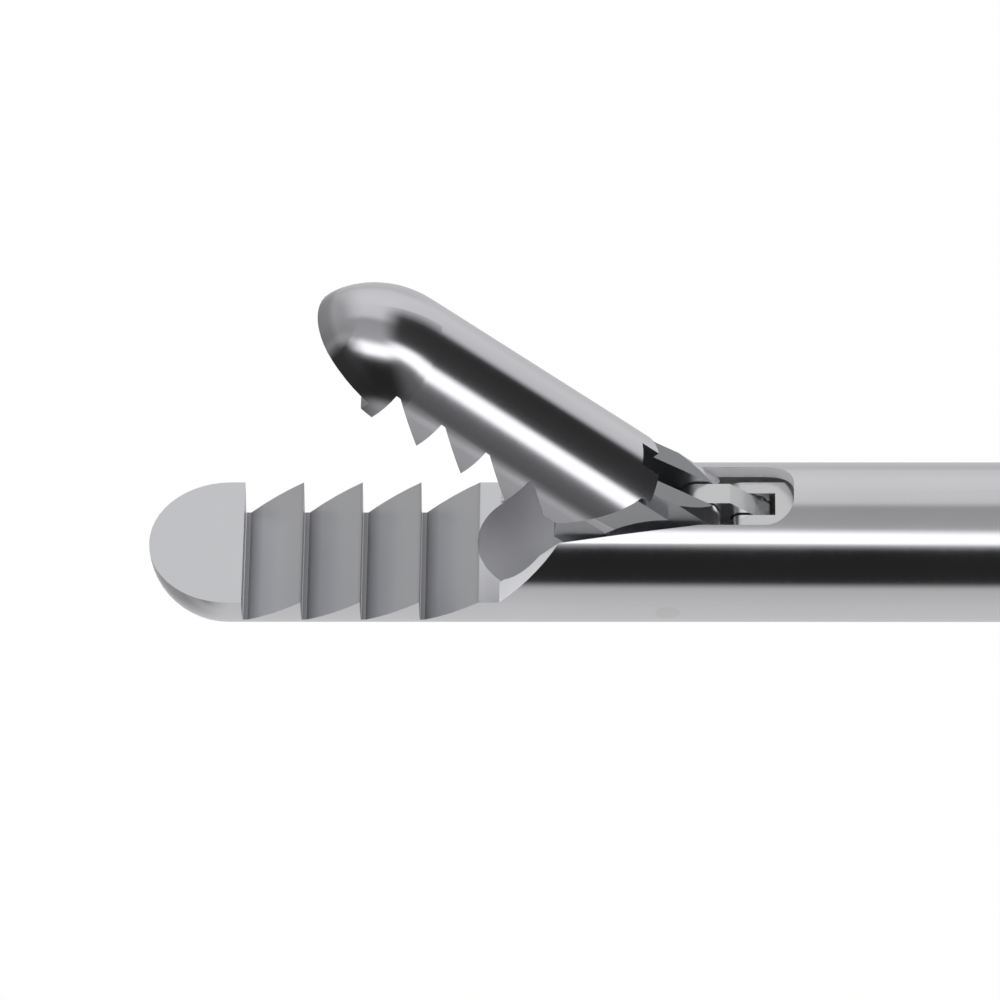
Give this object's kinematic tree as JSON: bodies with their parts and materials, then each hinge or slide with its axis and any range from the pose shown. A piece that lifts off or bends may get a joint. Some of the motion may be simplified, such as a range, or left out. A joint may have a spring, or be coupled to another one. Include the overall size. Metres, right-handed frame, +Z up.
{
  "type": "laparoscopic grasper",
  "caption": "Long slender grasping instrument: one toothed jaw swings against a fixed one, worked by a ring handle through a rod in the shaft.",
  "frame": {"origin": "on the shaft axis at the rotation knob's front face", "axes": "+X from the tip towards the handle, +Z up away from the finger rings, Y across the handle"},
  "size_m": [0.4389, 0.0234, 0.1151],
  "materials": {
    "jaw_steel": "fine ground, satin teeth",
    "tube_steel": "polished",
    "pin_steel": "polished",
    "rod_steel": "ground",
    "steel_satin": "satin",
    "steel_polished": "polished",
    "steel_dark": "dark",
    "bush_bronze": "machined",
    "washer_plastic": "matt",
    "silicone": "matt",
    "knob_black": "satin",
    "cap_grey": "matt"
  },
  "bodies": {
    "handle": {"handle_body": "steel_satin", "bearing_bush": "bush_bronze", "pivot_screw": "steel_polished", "pivot_nut": "steel_polished", "pivot_washers": "washer_plastic"},
    "shaft": {"fixed_jaw": "jaw_steel", "outer_tube": "tube_steel", "jaw_pivot_pin": "pin_steel", "shaft_hub": "steel_polished", "hub_o_rings": "silicone", "rotation_knob": "knob_black", "knob_set_screws": "steel_dark", "retaining_nut": "steel_satin", "rod_seal": "silicone", "seal_gland": "bush_bronze", "flush_port": "steel_polished", "flush_cap": "cap_grey", "flush_cap_seal": "silicone"},
    "rod": {"rod_head": "rod_steel", "drive_rod": "rod_steel", "rod_guides": "washer_plastic", "ball_end": "steel_polished", "ball_lock_nut": "steel_dark"},
    "jaw": {"moving_jaw": "jaw_steel", "link_front_pin": "pin_steel"},
    "link_arm": {"link": "rod_steel", "link_rear_pin": "pin_steel"},
    "lever": {"thumb_lever": "steel_satin"}
  },
  "joints": [
    {"name": "thumb_squeeze", "type": "hinge", "parent": "handle", "child": "lever", "pos_m": [0.074, 0, 0.0055], "axis": [0, 1, 0], "range_deg": [0, 19.16]},
    {"name": "knob_turn", "type": "hinge", "parent": "handle", "child": "shaft", "pos_m": [0, 0, 0], "axis": [1, 0, 0], "continuous": true},
    {"name": "rod_slide", "type": "slide", "parent": "shaft", "child": "rod", "axis": [-1, 0, 0], "range_m": [0, 0.00186]},
    {"name": "jaw_swing", "type": "hinge", "parent": "shaft", "child": "jaw", "pos_m": [-0.29375, 0, -0.0006], "axis": [0, -1, 0], "range_deg": [0, 43.62]},
    {"name": "link_swing", "type": "hinge", "parent": "jaw", "child": "link_arm", "pos_m": [-0.29282, 0, 0.00172], "axis": [0, 1, 0], "range_deg": [0, 43.62]}
  ],
  "couplings": [
    {"joint": "rod_slide", "follows": "thumb_squeeze", "m_per_rad": 0.0055519},
    {"joint": "jaw_swing", "follows": "thumb_squeeze", "ratio": 2.2752},
    {"joint": "link_swing", "follows": "thumb_squeeze", "ratio": 2.2752}
  ]
}
